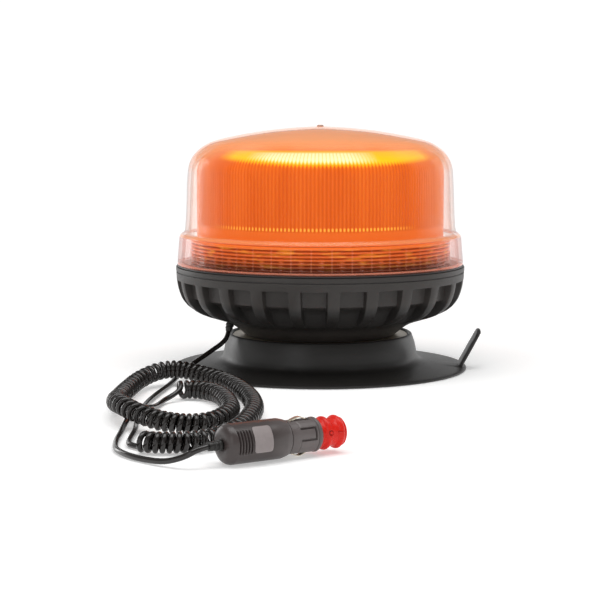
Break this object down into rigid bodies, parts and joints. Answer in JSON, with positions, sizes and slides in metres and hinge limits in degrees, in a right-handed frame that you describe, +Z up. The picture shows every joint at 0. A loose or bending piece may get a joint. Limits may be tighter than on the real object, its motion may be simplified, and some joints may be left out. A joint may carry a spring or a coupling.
{
  "type": "led warning beacon",
  "caption": "Round amber LED warning beacon on a magnetic suction base, with a curly cord and a 12 V vehicle plug.",
  "frame": {"origin": "centre of the magnet's flat underside, on the lamp's axis", "axes": "+Z up the lamp's axis, from the magnet to the dome; the cord and plug lie on the -X, -Y side and the pull tab on the +X side"},
  "size_m": [0.2534, 0.4861, 0.1769],
  "materials": {
    "clear_polycarbonate": "clear, slightly warm polycarbonate",
    "amber_polycarbonate": "amber polycarbonate with fine moulded prisms",
    "black_casting": "fine-grained matte black",
    "black_rubber": "matte moulded rubber",
    "zinc_plate": "zinc plated, faintly yellow",
    "steel": "zinc plated steel",
    "magnet_ferrite": "sintered dark grey ferrite",
    "aluminium": "plain",
    "bright_reflector": "metallised plastic",
    "circuit_board": "green solder resist",
    "led_yellow": "clear resin over yellow phosphor",
    "plug_plastic": "satin dark grey-brown",
    "pad_grey": "blank, finely grained",
    "red_plastic": "bright red, satin to gloss",
    "spring_brass": "nickel-plated spring brass",
    "fuse_glass": "clear tube",
    "cord_jacket": "smooth black polyurethane"
  },
  "bodies": {
    "root": {"outer_lens": "clear_polycarbonate", "inner_lens": "amber_polycarbonate", "prism_ring": "amber_polycarbonate", "lens_gasket": "black_rubber", "housing": "black_casting", "cable_gland": "black_rubber", "carrier_plate": "aluminium", "led_board": "circuit_board", "led_1": "led_yellow", "led_2": "led_yellow", "led_3": "led_yellow", "led_4": "led_yellow", "led_5": "led_yellow", "led_6": "led_yellow", "led_7": "led_yellow", "led_8": "led_yellow", "reflector": "bright_reflector", "carrier_post_1": "aluminium", "carrier_post_2": "aluminium", "carrier_post_3": "aluminium", "carrier_screw_1": "steel", "carrier_screw_2": "steel", "carrier_screw_3": "steel", "driver_board": "circuit_board", "driver_spacer_1": "plug_plastic", "driver_spacer_2": "plug_plastic", "driver_spacer_3": "plug_plastic", "driver_screw_1": "steel", "driver_screw_2": "steel", "driver_screw_3": "steel", "base_plate": "zinc_plate", "pole_disc": "steel", "ring_magnet": "magnet_ferrite", "magnet_face": "zinc_plate", "base_drum": "black_rubber", "suction_skirt": "black_rubber", "centre_bolt": "steel", "centre_washer": "steel", "centre_nut": "steel", "plug_body": "plug_plastic", "plug_pad": "pad_grey", "plug_boot": "black_rubber", "plug_nose": "plug_plastic", "plug_end_ring": "plug_plastic", "pin_barrel": "plug_plastic", "contact_spring": "steel", "cord_lead": "cord_jacket", "cord_curls": "cord_jacket", "cord_tail": "cord_jacket"},
    "tab": {"pull_tab": "black_rubber"},
    "adapter": {"red_adapter": "red_plastic"},
    "tip": {"tip_contact": "spring_brass", "fuse": "fuse_glass"},
    "side_upper": {"side_contact_upper": "spring_brass"},
    "side_lower": {"side_contact_lower": "spring_brass"}
  },
  "joints": [
    {"name": "tab_flex", "type": "hinge", "parent": "root", "child": "tab", "pos_m": [0.10235, -0.00716, 0.0033], "axis": [0.0698, 0.9976, 0], "range_deg": [-45, 31], "stiffness_Nm_per_rad": 0.03},
    {"name": "adapter_pull", "type": "slide", "parent": "root", "child": "adapter", "axis": [0.829, 0.5592, 0], "range_m": [0, 0.024]},
    {"name": "tip_press", "type": "slide", "parent": "root", "child": "tip", "axis": [-0.829, -0.5592, 0], "range_m": [0, 0.002], "stiffness_N_per_m": 900},
    {"name": "upper_contact_press", "type": "slide", "parent": "root", "child": "side_upper", "axis": [0, 0, -1], "range_m": [0, 0.0015], "stiffness_N_per_m": 1500},
    {"name": "lower_contact_press", "type": "slide", "parent": "root", "child": "side_lower", "axis": [0, 0, 1], "range_m": [0, 0.0015], "stiffness_N_per_m": 1500}
  ]
}
